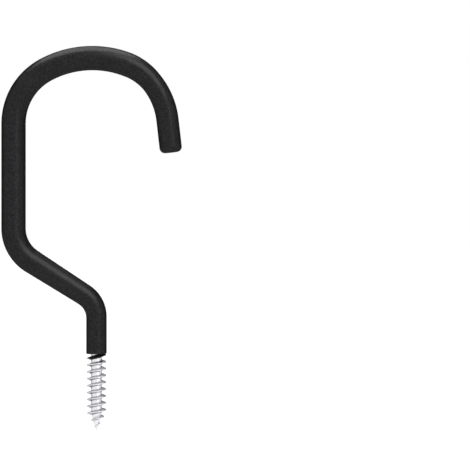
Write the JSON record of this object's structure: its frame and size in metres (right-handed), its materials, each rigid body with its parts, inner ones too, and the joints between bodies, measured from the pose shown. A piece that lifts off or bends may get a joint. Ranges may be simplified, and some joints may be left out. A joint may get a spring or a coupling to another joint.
{
  "type": "bicycle storage hook",
  "caption": "Screw-in storage hook: a bent steel rod with a wood-screw thread and a thick black vinyl coat, which holds a bicycle by its wheel.",
  "frame": {"origin": "on the screw's axis at the coat's cut end, where the face of the wood comes", "axes": "+Z out of the wood along the screw's axis, +X from the screw's axis to the hook's open side, Y square to the plane that the hook lies in"},
  "size_m": [0.074, 0.01, 0.1577],
  "materials": {
    "zinc_plated_steel": "satin",
    "black_vinyl": "matte"
  },
  "bodies": {
    "root": {"steel_rod": "zinc_plated_steel", "vinyl_coating": "black_vinyl"}
  },
  "joints": []
}
